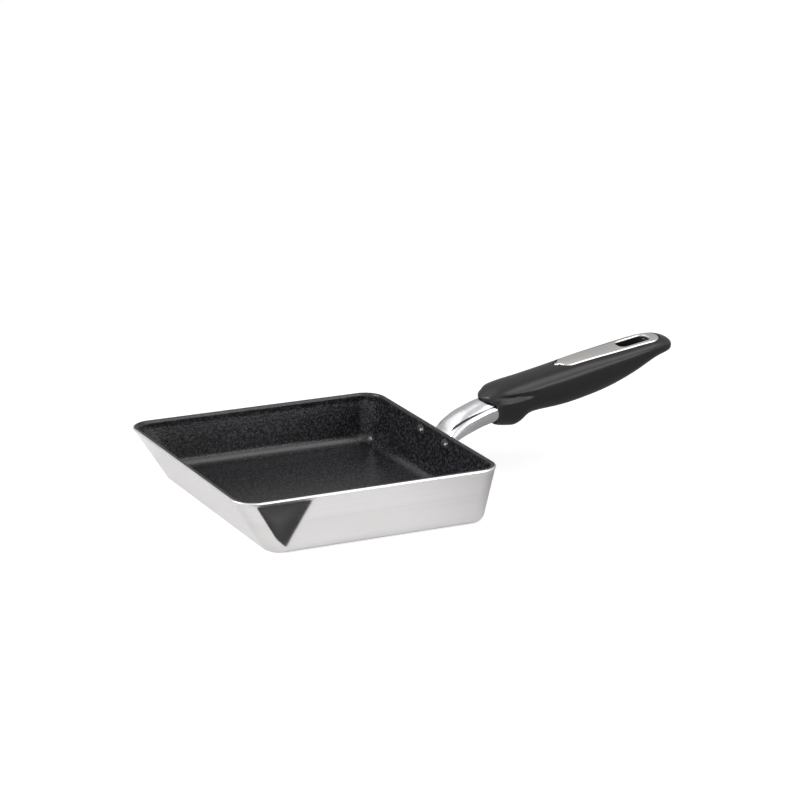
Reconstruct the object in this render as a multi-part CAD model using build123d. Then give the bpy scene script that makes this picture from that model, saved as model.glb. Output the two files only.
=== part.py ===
from build123d import *
from math import atan2, cos, degrees, hypot, radians, sin
import os

# Rectangular rolled-omelette pan with a riveted steel neck and a moulded grip.
# All sizes are in millimetres. The origin is the middle of the pan's underside,
# +X runs towards the grip, +Y across the pan and +Z up.

# Pan, measured over the steel skin
rim_length = 184.0
rim_width = 174.0
pan_height = 38.0
pouring_lean = 25.0          # how far the front wall leans out over its height
grip_side_lean = 6.0
side_lean = 5.0
rim_corner_radius = 14.5
base_corner_radius = 12.5
base_edge_radius = 6.0

# Layers of the pan
skin_wall = 0.5
core_wall = 1.8
core_base = 4.2
coat = 0.3
floor_edge_radius = 7.0
rim_round = 0.8              # rounding of the metal's upper edges
rim_wrap = 1.6               # how far the coating reaches down outside the rim

# Rivets
rivet_spacing = 33.0
rivet_below_rim = 8.5
rivet_shank_radius = 2.5
rivet_head_radius = 5.4
rivet_head_height = 2.6
rivet_tail_radius = 4.2
rivet_tail_height = 2.0
rivet_hole_gap = 0.05

# Steel neck
flange_width = 50.0
flange_height = 12.6
flange_wall = 2.0
flange_corner_radius = 5.0
neck_inset = 2.0             # the neck's first section lies this far inside the wall
neck_length = 60.0
neck_rise = 21.2
neck_width = 24.0
neck_height = 19.0
neck_wall = 1.8
neck_hollow_start = 8.0

# Tang, nut and screw inside the grip
plug_length = 14.0
tang_width = 14.0
tang_thickness = 5.0
tang_length = 29.0
screw_reach = 18.0           # from the neck's end to the screw
screw_radius = 2.5
screw_hole_gap = 0.3
thread_gap = 0.05
screw_tip = 1.0              # how far the screw stands out of its nut
screw_head_radius = 4.4
screw_head_height = 2.4
screw_socket_width = 3.0     # hexagon socket, across its flats
screw_socket_depth = 1.5
lock_washer_thickness = 1.0
lock_washer_radius = 4.2
lock_washer_slit = 1.0
nut_width = 8.0              # across its flats
nut_height = 4.5
web_thickness = 3.5          # grip material between tang and washer

# Moulded grip
grip_length = 148.2
grip_width = 29.6
grip_thickness = 28.0
grip_rise = 24.4             # rise of the grip's axis over its length
grip_overlap = 29.2          # how much of the neck the grip covers
socket_drop = 2.4            # the neck's end lies this far below the grip's axis
socket_gap = 0.6
mouth_setback = 11.0         # the grip's mouth lies this far behind its nose

# Steel inlay on the grip and the slot for hanging
inlay_thickness = 1.0
inlay_front_radius = 7.6
inlay_rear_radius = 9.5
inlay_front_centre = 68.5    # from the grip's nose
inlay_span = 59.5            # between the centres of its round ends
inlay_tongue_width = 3.2
inlay_tongue_length = 3.0
slot_length = 22.0
slot_width = 11.5
slot_corner_radius = 4.0
slot_centre_from_rear = 8.5  # from the centre of the inlay's rear end

overrun = 5.0                # how far every cut runs past the material

# Shares chosen by hand from the outline of the neck:
# along its length, rise of its middle, half width, half height
neck_shares = (
    (0.00, 0.00, 0.97, 0.53),
    (0.06, 0.04, 0.98, 0.65),
    (0.12, 0.19, 1.00, 0.86),
    (0.18, 0.31, 1.00, 0.93),
    (0.28, 0.47, 1.00, 0.94),
    (0.40, 0.61, 0.98, 0.96),
    (0.53, 0.74, 0.97, 0.99),
    (0.67, 0.83, 0.96, 1.00),
    (0.80, 0.90, 0.95, 1.00),
    (1.00, 1.00, 0.86, 0.92),
)
neck_ridge_share = 0.45      # height of the widest line above the middle

# Shares chosen by hand from the outline of the grip: along its length, half width,
# then crown, widest line and belly as shares of the thickness above the axis
grip_shares = (
    (0.000, 0.15, 0.290, 0.250, 0.210),
    (0.010, 0.32, 0.350, 0.180, 0.000),
    (0.035, 0.54, 0.400, 0.240, -0.280),
    (0.075, 0.73, 0.440, 0.300, -0.520),
    (0.136, 0.87, 0.440, 0.320, -0.610),
    (0.180, 0.90, 0.440, 0.300, -0.640),
    (0.217, 0.91, 0.440, 0.290, -0.555),
    (0.258, 0.92, 0.440, 0.275, -0.475),
    (0.318, 0.92, 0.443, 0.265, -0.465),
    (0.413, 0.94, 0.457, 0.265, -0.520),
    (0.534, 0.97, 0.475, 0.285, -0.525),
    (0.669, 1.00, 0.480, 0.300, -0.430),
    (0.804, 0.99, 0.446, 0.300, -0.240),
    (0.885, 0.92, 0.418, 0.285, -0.070),
    (0.939, 0.76, 0.370, 0.260, 0.000),
    (0.976, 0.52, 0.280, 0.205, 0.030),
    (1.000, 0.20, 0.165, 0.120, 0.070),
)
upper_fullness_share = 0.62  # 0.55 is an ellipse, more is squarer
lower_fullness_share = 0.60
hexagon_corner_share = 2 / 3 ** 0.5  # width over the corners for one unit over the flats

# The mouth of the grip seen from the side: shares of the setback behind the nose
# and of the thickness above the axis
mouth_shares = (
    (0.00, 0.250),
    (0.30, 0.215),
    (0.68, 0.150),
    (0.90, 0.030),
    (1.00, -0.160),
    (1.00, -0.360),
    (0.90, -0.480),
)

wall = skin_wall + core_wall + coat
metal_wall = skin_wall + core_wall
metal_top = pan_height - coat
grip_side_tilt = degrees(atan2(grip_side_lean, pan_height))
rivet_z = pan_height - rivet_below_rim


def lean_factor(lean):
    """Level thickness of a leaning wall that is one unit thick."""
    return hypot(lean, pan_height) / pan_height


def pan_outline(height, inset):
    """Level section of the pan, drawn in from the steel skin."""
    drop = 1 - height / pan_height
    front = -rim_length / 2 + pouring_lean * drop + inset * lean_factor(pouring_lean)
    back = rim_length / 2 - grip_side_lean * drop - inset * lean_factor(grip_side_lean)
    half = rim_width / 2 - side_lean * drop - inset * lean_factor(side_lean)
    corner = base_corner_radius + (rim_corner_radius - base_corner_radius) * (1 - drop) - inset
    return Pos((front + back) / 2, 0, height) * RectangleRounded(back - front, 2 * half, corner)


def pan_block(inset, floor, top, edge_radius):
    """Solid block bounded by leaning walls, with its bottom edge rounded."""
    block = loft([pan_outline(floor, inset), pan_outline(top, inset)], ruled=True)
    bottom = block.faces().sort_by(Axis.Z)[0]
    return fillet(bottom.edges(), edge_radius)


def round_rim(shell, radius):
    """Round both upper edges of an open shell."""
    return fillet(shell.faces().sort_by(Axis.Z)[-1].edges(), radius)


def rivet_plane(side):
    """Plane on the outer face of the grip-side wall, its normal pointing out of the pan."""
    wall_x = rim_length / 2 - grip_side_lean * (1 - rivet_z / pan_height)
    return Plane(origin=(wall_x, side * rivet_spacing / 2, rivet_z), x_dir=(0, 1, 0),
                 z_dir=(cos(radians(grip_side_tilt)), 0, -sin(radians(grip_side_tilt))))


def upright_cylinder(radius, low, high):
    """Cylinder on the Z axis between two heights."""
    return Pos(0, 0, (low + high) / 2) * Cylinder(radius, high - low)


def dome(radius, height):
    """Shallow dome that stands on the XY plane."""
    ball_radius = (radius ** 2 + height ** 2) / (2 * height)
    ball = Pos(0, 0, height - ball_radius) * Sphere(ball_radius)
    return ball & upright_cylinder(radius + overrun, 0, height + overrun)


def rivet_holes(part):
    """Drill both rivet holes through a wall."""
    for side in (-1, 1):
        hole = upright_cylinder(rivet_shank_radius + rivet_hole_gap, -wall - overrun, flange_wall + overrun)
        part = part - rivet_plane(side) * hole
    return part


def make_pan():
    """The steel skin, the aluminium core and the coating, each a separate solid."""
    outer = pan_block(0, 0, metal_top, base_edge_radius)
    inner = pan_block(metal_wall, skin_wall + core_base, pan_height + overrun, floor_edge_radius + coat)
    metal = round_rim(outer - inner, rim_round)
    core_space = pan_block(skin_wall, skin_wall, pan_height + overrun, base_edge_radius - skin_wall)
    skin = metal - core_space
    core = metal & core_space

    wrap_low = metal_top - rim_wrap
    wrap = loft([pan_outline(wrap_low, -coat), pan_outline(pan_height, -coat)], ruled=True)
    lining = pan_block(metal_wall, skin_wall + core_base, pan_height, floor_edge_radius + coat)
    cavity = pan_block(wall, skin_wall + core_base + coat, pan_height + overrun, floor_edge_radius)
    coating = round_rim(wrap + lining - cavity, rim_round + coat) - metal
    return rivet_holes(skin), rivet_holes(core), rivet_holes(coating)


def make_rivet(side):
    """Rivet with a domed head inside the pan and a formed tail on the neck's flange."""
    shank = upright_cylinder(rivet_shank_radius, -wall, flange_wall)
    head = Pos(0, 0, -wall) * Rot(180, 0, 0) * dome(rivet_head_radius, rivet_head_height)
    tail = Pos(0, 0, flange_wall) * dome(rivet_tail_radius, rivet_tail_height)
    return rivet_plane(side) * (shank + head + tail)


def quarter(x, start, end, fullness):
    """Quarter of a section, from its widest point to its crown or belly, as (y, z) points."""
    side_handle = start[1] + fullness * (end[1] - start[1])
    return Edge.make_bezier((x, start[0], start[1]), (x, start[0], side_handle),
                            (x, fullness * start[0], end[1]), (x, end[0], end[1]))


def rounded_section(x, half_width, crown, widest, belly):
    """Upright section of four quarters that meet at the widest line, the crown and the belly."""
    quarters = []
    for side in (half_width, -half_width):
        quarters.append(quarter(x, (side, widest), (0, crown), upper_fullness_share))
        quarters.append(quarter(x, (side, widest), (0, belly), lower_fullness_share))
    return Face(Wire(quarters))


neck_root_x = rim_length / 2 - neck_inset
neck_end_x = neck_root_x + neck_length
neck_end_z = rivet_z - neck_inset / 4 + neck_rise
grip_nose_x = neck_end_x - grip_overlap
grip_slope = grip_rise / grip_length
grip_tilt = degrees(atan2(grip_rise, grip_length))
grip_axis_start = neck_end_z + socket_drop - grip_slope * grip_overlap
seat_plane = Plane(origin=(neck_end_x, 0, neck_end_z),
                   x_dir=(cos(radians(grip_tilt)), 0, sin(radians(grip_tilt))),
                   z_dir=(-sin(radians(grip_tilt)), 0, cos(radians(grip_tilt))))


def neck_loft(grow):
    """The neck's outer form, grown by a gap or shrunk by a wall."""
    sections = []
    for along, rise, width, height in neck_shares:
        middle = neck_end_z - neck_rise + neck_rise * rise
        half_height = neck_height / 2 * height
        sections.append(rounded_section(
            neck_root_x + neck_length * along,
            neck_width / 2 * width + grow,
            middle + half_height + grow,
            middle + half_height * neck_ridge_share,
            middle - half_height - grow))
    return loft(sections)


def slab(low_x, high_x, reach):
    """Thick plate between two stations along X."""
    return Pos((low_x + high_x) / 2, 0, neck_end_z) * Box(high_x - low_x, reach, reach)


def inside_wall():
    """Everything on the pan's side of the outer face of the grip-side wall."""
    reach = rim_length
    return rivet_plane(0) * Pos(0, 0, -reach / 2) * Box(reach, reach, reach)


def make_neck():
    """Hollow steel neck with a flange that the rivets hold to the pan."""
    flange = extrude(RectangleRounded(flange_width, flange_height, flange_corner_radius), flange_wall)
    outer = rivet_plane(0) * flange + (neck_loft(0) - inside_wall())
    hollow_start = neck_root_x + neck_hollow_start
    hollow = neck_loft(-neck_wall) & slab(hollow_start, neck_end_x, rim_length)
    return rivet_holes(outer - hollow)


def make_tang():
    """Steel tongue whose front end is shaped to plug the neck."""
    plug = neck_loft(-neck_wall) & slab(neck_end_x - plug_length, neck_end_x, rim_length)
    root = plug_length / 2
    bar = seat_plane * Pos((tang_length - root) / 2, 0, 0) * Box(
        tang_length + root, tang_width, tang_thickness)
    bar = bar & slab(neck_end_x, neck_end_x + 2 * tang_length, rim_length)
    hole = seat_plane * Pos(screw_reach, 0, 0) * Cylinder(screw_radius + screw_hole_gap, tang_thickness + overrun)
    return plug + bar - hole


def make_nut():
    """Weld nut on top of the tang."""
    blank = extrude(RegularPolygon(nut_width / 2, 6, major_radius=False), nut_height)
    blank = blank - upright_cylinder(screw_radius + thread_gap, -overrun, nut_height + overrun)
    return seat_plane * Pos(screw_reach, 0, tang_thickness / 2) * blank


washer_top = -tang_thickness / 2 - web_thickness
head_top = washer_top - lock_washer_thickness
screw_end = tang_thickness / 2 + nut_height + screw_tip


def make_screw():
    """Screw that enters from below the grip and ends in the tang's nut."""
    shank = upright_cylinder(screw_radius, head_top, screw_end)
    shank = chamfer(shank.faces().sort_by(Axis.Z)[-1].edges(), screw_tip / 2)
    head = Pos(0, 0, head_top) * Rot(180, 0, 0) * dome(screw_head_radius, screw_head_height)
    socket = extrude(RegularPolygon(screw_socket_width / 2, 6, major_radius=False), screw_socket_depth)
    socket = Pos(0, 0, head_top - screw_head_height) * socket
    return seat_plane * Pos(screw_reach, 0, 0) * (shank + head - socket)


def make_lock_washer():
    """Split spring washer under the screw's head."""
    ring = upright_cylinder(lock_washer_radius, head_top, washer_top)
    ring = ring - upright_cylinder(screw_radius + screw_hole_gap, head_top - overrun, washer_top + overrun)
    slit = Pos(lock_washer_radius, 0, (head_top + washer_top) / 2) * Box(
        2 * lock_washer_radius, lock_washer_slit, lock_washer_thickness + overrun)
    return seat_plane * Pos(screw_reach, 0, 0) * (ring - slit)


def grip_loft():
    """The grip's outer form."""
    sections = []
    for along, width, crown, widest, belly in grip_shares:
        axis_z = grip_axis_start + grip_rise * along
        sections.append(rounded_section(
            grip_nose_x + grip_length * along,
            grip_width / 2 * width,
            axis_z + grip_thickness * crown,
            axis_z + grip_thickness * widest,
            axis_z + grip_thickness * belly))
    return loft(sections)


def mouth_cut():
    """Removes what lies in front of the grip's mouth, below its nose."""
    rim = []
    for back, up in mouth_shares:
        x = grip_nose_x + mouth_setback * back
        rim.append((x, grip_axis_start + grip_slope * (x - grip_nose_x) + grip_thickness * up))
    ahead = grip_nose_x - overrun
    low = rim[-1][1] - grip_thickness
    edge = Spline(*[(x, z) for x, z in rim])
    outline = edge + Polyline(rim[-1], (rim[-1][0], low), (ahead, low), (ahead, rim[0][1]), rim[0])
    return extrude(Plane.XZ * make_face(outline), grip_width / 2 + overrun, both=True)


def inlay_plan(reach_up):
    """Upright column with the inlay's outline: two round ends, straight sides and a front tongue."""
    front = Pos(inlay_front_centre, 0) * Circle(inlay_front_radius)
    rear = Pos(inlay_front_centre + inlay_span, 0) * Circle(inlay_rear_radius)
    tongue_length = inlay_front_radius + inlay_tongue_length
    tongue = Pos(inlay_front_centre - tongue_length / 2, 0) * RectangleRounded(
        tongue_length, inlay_tongue_width, inlay_tongue_width / 4)
    plan = make_hull(front.edges() + rear.edges()) + tongue
    return Pos(grip_nose_x, 0, grip_axis_start) * extrude(plan, reach_up)


def slot_column():
    """Column with the outline of the hanging slot, square to the grip's axis."""
    along = inlay_front_centre + inlay_span - slot_centre_from_rear
    centre = Plane(origin=(grip_nose_x + along, 0, grip_axis_start + grip_slope * along),
                   x_dir=seat_plane.x_dir, z_dir=seat_plane.z_dir)
    outline = RectangleRounded(slot_length, slot_width, slot_corner_radius)
    return centre * extrude(outline, grip_thickness, both=True)


def make_inlay(body):
    """Steel plate that lies flush in the top of the grip."""
    column = inlay_plan(2 * (grip_rise + grip_thickness))
    return (body & column) - Pos(0, 0, -inlay_thickness) * body


def socket_space():
    """Room in the grip for the neck's end, the tang, the nut, the washer and the screw."""
    neck_room = neck_loft(socket_gap) & slab(neck_root_x, neck_end_x, rim_length)
    end_room = extrude(neck_room.faces().sort_by(Axis.X)[-1], socket_gap)
    tang_room = seat_plane * Pos(tang_length / 2, 0, 0) * Box(
        tang_length + 2 * socket_gap, tang_width + 2 * socket_gap, tang_thickness + 2 * socket_gap)
    nut_run = screw_reach + hexagon_corner_share * nut_width / 2 + socket_gap
    nut_room = seat_plane * Pos(nut_run / 2, 0, (tang_thickness + nut_height + screw_tip) / 2) * Box(
        nut_run, nut_width + 2 * socket_gap, nut_height + screw_tip + 2 * socket_gap)
    screw_room = upright_cylinder(screw_radius + screw_hole_gap, washer_top - overrun, 0)
    head_room = upright_cylinder(screw_head_radius + socket_gap, washer_top - grip_thickness, washer_top)
    return neck_room + end_room + tang_room + nut_room + seat_plane * Pos(screw_reach, 0, 0) * (
        screw_room + head_room)


def main():
    """Build every piece and write one file for each."""
    skin, core, coating = make_pan()
    body = grip_loft() - mouth_cut()
    inlay = make_inlay(body)
    grip = body - inlay - slot_column() - socket_space()
    pieces = {
        "pan_outer_skin": skin,
        "pan_core": core,
        "nonstick_coating": coating,
        "rivet_left": make_rivet(1),
        "rivet_right": make_rivet(-1),
        "neck": make_neck(),
        "tang": make_tang(),
        "tang_nut": make_nut(),
        "handle_screw": make_screw(),
        "screw_lock_washer": make_lock_washer(),
        "grip": grip,
        "grip_inlay": inlay - slot_column(),
    }
    os.makedirs("parts", exist_ok=True)
    for name, piece in pieces.items():
        export_step(piece, "parts/" + name + ".step")
        box = piece.bounding_box()
        print(name, len(piece.solids()), round(piece.volume), box.min, box.max)


main()
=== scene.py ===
"""Rectangular omelette pan on a white sweep: new surfaces, finishes, light and camera.

Shapes are worked out in millimetres, in the frame of the CAD: the origin is the middle of
the pan's underside, +X runs towards the grip, +Y across the pan and +Z up.
"""
import math

import bpy
import numpy as np
from mathutils import Matrix


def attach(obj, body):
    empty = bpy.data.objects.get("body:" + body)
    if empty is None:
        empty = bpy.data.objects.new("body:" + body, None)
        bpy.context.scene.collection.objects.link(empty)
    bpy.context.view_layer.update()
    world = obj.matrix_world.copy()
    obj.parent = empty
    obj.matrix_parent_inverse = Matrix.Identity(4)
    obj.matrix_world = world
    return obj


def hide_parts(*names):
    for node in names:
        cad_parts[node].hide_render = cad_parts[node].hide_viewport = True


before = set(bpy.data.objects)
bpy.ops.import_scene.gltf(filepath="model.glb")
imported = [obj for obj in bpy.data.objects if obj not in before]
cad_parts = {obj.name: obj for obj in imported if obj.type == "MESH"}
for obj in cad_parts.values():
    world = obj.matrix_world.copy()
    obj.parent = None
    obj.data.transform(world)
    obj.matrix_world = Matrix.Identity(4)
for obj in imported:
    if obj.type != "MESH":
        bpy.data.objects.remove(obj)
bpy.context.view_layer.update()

MM = 0.001

# Pan
RIM_LENGTH, RIM_WIDTH, PAN_HEIGHT = 184.0, 174.0, 38.0
POURING_LEAN, GRIP_SIDE_LEAN, SIDE_LEAN = 25.0, 6.0, 5.0
RIM_CORNER, BASE_CORNER = 14.5, 12.5
BASE_EDGE, FLOOR_EDGE = 6.0, 7.0
SKIN_WALL, WALL, FLOOR_Z = 0.5, 2.6, 5.0

# Rivets and neck
RIVET_SPACING, RIVET_Z = 33.0, 29.5
RIVET_CAP, RIVET_HEAD, RIVET_SHANK, RIVET_TAIL = 5.0, 5.7, 2.5, 4.2
CAP_SWEEP, CAP_RISE, HEAD_RISE, TAIL_RISE = 0.9, 2.0, 0.8, 2.0
RIVET_OVERLAP = 0.1
FLANGE_WIDTH, FLANGE_HEIGHT, FLANGE_WALL, FLANGE_CORNER, FLANGE_EDGE = 50.0, 12.6, 2.0, 5.0, 0.7
NECK_ROOT_X, NECK_LENGTH = 90.0, 60.0
NECK_END_Z, NECK_RISE = 50.2, 21.2
NECK_WIDTH, NECK_HEIGHT = 24.0, 19.0

# Grip
NOSE_X, GRIP_LENGTH = 120.8, 148.2
AXIS_START, GRIP_RISE = 47.79, 24.4
GRIP_WIDTH, GRIP_THICKNESS = 29.6, 28.0
MOUTH_SETBACK = 11.0
SOCKET_GAP, LIP = 1.1, 0.8

# Inlay and slot, along the grip from its nose
INLAY_FRONT_RADIUS, INLAY_REAR_RADIUS = 7.6, 9.5
INLAY_FRONT_CENTRE, INLAY_SPAN = 68.5, 59.5
SLOT_LENGTH, SLOT_WIDTH, SLOT_CORNER = 23.2, 11.5, 4.0
SLOT_CENTRE, SLOT_GAP = 118.2, 0.1
CUT_REACH, RECESS_REACH = 40.0, 6.0
INLAY_GAP, INLAY_SEAT, INLAY_FOOT, INLAY_LIFT = 0.85, 0.9, -1.4, 0.12
TONGUE_LENGTH, TONGUE_WIDTH, TONGUE_CORNER = 3.0, 3.2, 1.1

GRIP_SLOPE = GRIP_RISE / GRIP_LENGTH
GRIP_TILT = math.atan2(GRIP_RISE, GRIP_LENGTH)
WALL_TILT = math.atan2(GRIP_SIDE_LEAN, PAN_HEIGHT)


# Meshes

def signed_volume(points, triangles):
    """Sum over the triangles of one sixth of a . (b x c): positive when they face outwards."""
    a, b, c = (points[triangles[:, k]] for k in range(3))
    return float(np.einsum("ij,ij->", a, np.cross(b, c))) / 6


def grid_faces(rows, columns, loop_rows=False):
    """Quads between neighbours of a grid whose columns run round, and whose rows may too."""
    i = np.arange(rows if loop_rows else rows - 1)[:, None]
    j = np.arange(columns)[None, :]
    below, right = (i + 1) % rows, (j + 1) % columns
    return np.stack([i * columns + j, i * columns + right, below * columns + right,
                     below * columns + j], axis=-1).reshape(-1, 4)


def closed_shell(grid, first_pole=None, last_pole=None):
    """Points, quads and triangles of a grid of rings, with a fan to a pole at either end."""
    rows, columns = grid.shape[:2]
    points = [grid.reshape(-1, 3)]
    quads = grid_faces(rows, columns, loop_rows=first_pole is None)
    fans = []
    around = np.arange(columns)
    after = (around + 1) % columns
    if first_pole is not None:
        pole = rows * columns
        points += [np.reshape(first_pole, (1, 3)), np.reshape(last_pole, (1, 3))]
        fans.append(np.stack([after, around, np.full(columns, pole)], axis=-1))
        base = (rows - 1) * columns
        fans.append(np.stack([base + around, base + after, np.full(columns, pole + 1)], axis=-1))
    triangles = np.concatenate(fans) if fans else np.zeros((0, 3), int)
    return np.concatenate(points), quads, triangles


def new_mesh(name, points, faces):
    """Blender mesh from points in millimetres, shaded smooth."""
    mesh = bpy.data.meshes.new(name)
    mesh.from_pydata((np.asarray(points) * MM).tolist(), [], faces)
    mesh.polygons.foreach_set("use_smooth", np.ones(len(mesh.polygons), bool))
    mesh.update()
    return mesh


def new_object(name, data):
    """Object in the scene for a mesh, a lamp or a camera."""
    made = bpy.data.objects.new(name, data)
    bpy.context.scene.collection.objects.link(made)
    return made


def point_values(mesh, name, values):
    """Keep one number a point on a mesh, for its finish."""
    layer = mesh.attributes.new(name, "FLOAT", "POINT")
    layer.data.foreach_set("value", np.asarray(values, np.float32))


def add_piece(name, shells, replaced, values=None):
    """One Blender object from one or more closed shells, each turned to face outwards."""
    points, faces, offset = [], [], 0
    for shell_points, quads, triangles in shells:
        split = np.concatenate([quads[:, [0, 1, 2]], quads[:, [0, 2, 3]], triangles])
        if signed_volume(shell_points, split) < 0:
            quads, triangles = quads[:, ::-1], triangles[:, ::-1]
        points.append(shell_points)
        faces += (quads + offset).tolist() + (triangles + offset).tolist()
        offset += len(shell_points)
    mesh = new_mesh(name, np.concatenate(points), faces)
    mesh.validate()
    for key, numbers in (values or {}).items():
        point_values(mesh, key, numbers)
    piece = new_object(name, mesh)
    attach(piece, "root")
    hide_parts(*replaced)
    return piece


# Curves

def natural_spline(knots, values, at):
    """Natural cubic spline through values (rows) at the knots, read at the places `at`."""
    knots, values, at = (np.asarray(v, float) for v in (knots, values, at))
    gaps = np.diff(knots)
    n = len(knots)
    system, right = np.eye(n), np.zeros((n, values.shape[1]))
    inner = np.arange(1, n - 1)
    system[inner, inner - 1] = gaps[:-1]
    system[inner, inner] = 2 * (gaps[:-1] + gaps[1:])
    system[inner, inner + 1] = gaps[1:]
    rises = np.diff(values, axis=0) / gaps[:, None]
    right[1:-1] = 6 * np.diff(rises, axis=0)
    bends = np.linalg.solve(system, right)
    i = np.clip(np.searchsorted(knots, at, side="right") - 1, 0, n - 2)
    h, a = gaps[i][:, None], (knots[i + 1] - at)[:, None]
    b = (at - knots[i])[:, None]
    return (bends[i] * a ** 3 + bends[i + 1] * b ** 3) / (6 * h) + (
        values[i] / h - bends[i] * h / 6) * a + (values[i + 1] / h - bends[i + 1] * h / 6) * b


def bezier(p0, p1, p2, p3, t):
    """Cubic Bezier curve with broadcast ends and handles."""
    return (1 - t) ** 3 * p0 + 3 * t * (1 - t) ** 2 * p1 + 3 * t ** 2 * (1 - t) * p2 + t ** 3 * p3


def read_table(table, row, column):
    """Bilinear reading of a table at places between its rows and columns."""
    i = np.clip(row.astype(int), 0, table.shape[0] - 2)
    j = np.clip(column.astype(int), 0, table.shape[1] - 2)
    f, g = row - i, column - j
    low = table[i, j] * (1 - g) + table[i, j + 1] * g
    high = table[i + 1, j] * (1 - g) + table[i + 1, j + 1] * g
    return low * (1 - f) + high * f


def arc(x, y, radius, angle):
    """Points of a circle about (x, y) at the angles."""
    return np.stack([x + radius * np.cos(angle), y + radius * np.sin(angle)], axis=-1)


def smooth_step(low, high, x):
    """0 below low, 1 above high and 3t^2 - 2t^3 between."""
    t = np.clip((x - low) / (high - low), 0, 1)
    return t * t * (3 - 2 * t)


def bump(x, centre, width):
    """Bell exp(-((x - centre) / width)^2)."""
    return np.exp(-((x - centre) / width) ** 2)


# Pan

CORNER_STEPS, SIDE_STEPS, EDGE_STEPS = 20, 14, 13
FLOOR_RINGS = (0.02, 0.15, 0.3, 0.45, 0.6, 0.75, 0.88, 0.96)
WALL_RINGS = (0.03, 0.1, 0.25, 0.4, 0.55, 0.7, 0.85, 0.95)


def outline_directions():
    """Round a rounded rectangle: the outward normal's angle, the number of the corner centre that
    a point belongs to, and its share of the way to the next centre."""
    quarter = np.linspace(0, np.pi / 2, CORNER_STEPS + 1)
    run = np.arange(1, SIDE_STEPS) / SIDE_STEPS
    angles, corners, shares = [], [], []
    for k in range(4):
        angles += [k * np.pi / 2 + quarter, np.full(len(run), (k + 1) * np.pi / 2)]
        corners.append(np.full(len(quarter) + len(run), k))
        shares += [0 * quarter, run]
    return np.concatenate(angles), np.concatenate(corners), np.concatenate(shares)


OUTLINE_ANGLE, OUTLINE_CORNER, OUTLINE_SHARE = outline_directions()
OUTWARD = arc(0, 0, 1, OUTLINE_ANGLE)


def outline(height, inset):
    """Level outline of the pan's wall: four corner arcs joined by straight sides.

    A point is the corner's centre plus radius times its outward normal. The centres move out
    with height as each wall leans.
    """
    drop = 1 - height / PAN_HEIGHT
    stretch = [math.hypot(lean, PAN_HEIGHT) / PAN_HEIGHT
               for lean in (POURING_LEAN, GRIP_SIDE_LEAN, SIDE_LEAN)]
    front = -RIM_LENGTH / 2 + POURING_LEAN * drop + inset * stretch[0]
    back = RIM_LENGTH / 2 - GRIP_SIDE_LEAN * drop - inset * stretch[1]
    half = RIM_WIDTH / 2 - SIDE_LEAN * drop - inset * stretch[2]
    radius = BASE_CORNER + (RIM_CORNER - BASE_CORNER) * (1 - drop) - inset
    centres = np.array([(back - radius, half - radius), (front + radius, half - radius),
                        (front + radius, radius - half), (back - radius, radius - half)])
    here, after = centres[OUTLINE_CORNER], centres[(OUTLINE_CORNER + 1) % 4]
    return here + (after - here) * OUTLINE_SHARE[:, None] + radius * OUTWARD


def wall_ring(height, inset, offset=0.0):
    """Ring of wall points at one height, pushed level outwards by offset."""
    level = outline(height, inset) + offset * OUTWARD
    return np.concatenate([level, np.full((len(level), 1), height)], axis=1)


def pan_shell(inset, floor, edge_radius, rim):
    """Rings of one face of the pan, from the middle of its floor to its rim.

    Floor rings shrink the edge ring by a factor. The edge is a ball of edge_radius rolled
    along the floor and the leaning wall: centre + radius (sin a outward - cos a up), a from
    0 to 90 degrees less the lean. The wall is straight from there to the first rim ring.
    Each rim ring is an (offset, height) pair measured from the leaning wall.
    """
    top = wall_ring(PAN_HEIGHT, inset)
    ball = wall_ring(floor + edge_radius, inset)
    lean = np.arctan2(np.einsum("ij,ij->i", top[:, :2] - ball[:, :2], OUTWARD), top[:, 2] - ball[:, 2])
    centre = ball.copy()
    centre[:, :2] -= OUTWARD * (edge_radius / np.cos(lean))[:, None]
    rings = []
    middle = centre.mean(axis=0)
    for share in FLOOR_RINGS:
        ring = middle + (centre - middle) * share
        ring[:, 2] = floor
        rings.append(ring)
    for share in np.linspace(0, 1, EDGE_STEPS):
        angle = share * (np.pi / 2 - lean)
        ring = centre.copy()
        ring[:, :2] += OUTWARD * (edge_radius * np.sin(angle))[:, None]
        ring[:, 2] -= edge_radius * np.cos(angle)
        rings.append(ring)
    edge = rings[-1]
    first = wall_ring(rim[0][1], inset, rim[0][0])
    rings += [edge + (first - edge) * share for share in WALL_RINGS]
    rings += [wall_ring(height, inset, offset) for offset, height in rim]
    return rings, np.array([middle[0], middle[1], floor])


# Rim sections: level offset from the wall, and height. The steel ends in a slim bead and the
# coating rolls over it. The backs are hidden between the two.
STEEL_RIM = ((0.0, 34.6), (0.04, 35.2), (0.16, 35.8), (0.30, 36.2), (0.35, 36.5), (0.30, 36.78),
             (0.12, 37.08), (-0.16, 37.38), (-0.50, 37.62), (-0.85, 37.76), (-1.15, 37.8))
STEEL_BACK = ((0.0, 36.0), (-0.2, 37.0), (-0.35, 37.5))
COAT_RIM = ((0.0, 32.8), (-0.06, 33.8), (-0.24, 34.8), (-0.44, 35.7), (-0.52, 36.4), (-0.44, 37.0),
            (-0.16, 37.55), (0.26, 37.92), (0.72, 38.08), (1.10, 38.06), (1.45, 37.95), (1.70, 37.78))
COAT_BACK = ((0.0, 35.0), (0.6, 36.8), (1.2, 37.4), (1.7, 37.6))
COAT_THICKNESS = 0.25


def rim_share(grid, low, high):
    """Share of rim at each point by its height, with none at the two poles."""
    return np.append(smooth_step(low, high, grid[..., 2]).ravel(), (0, 0))


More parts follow.
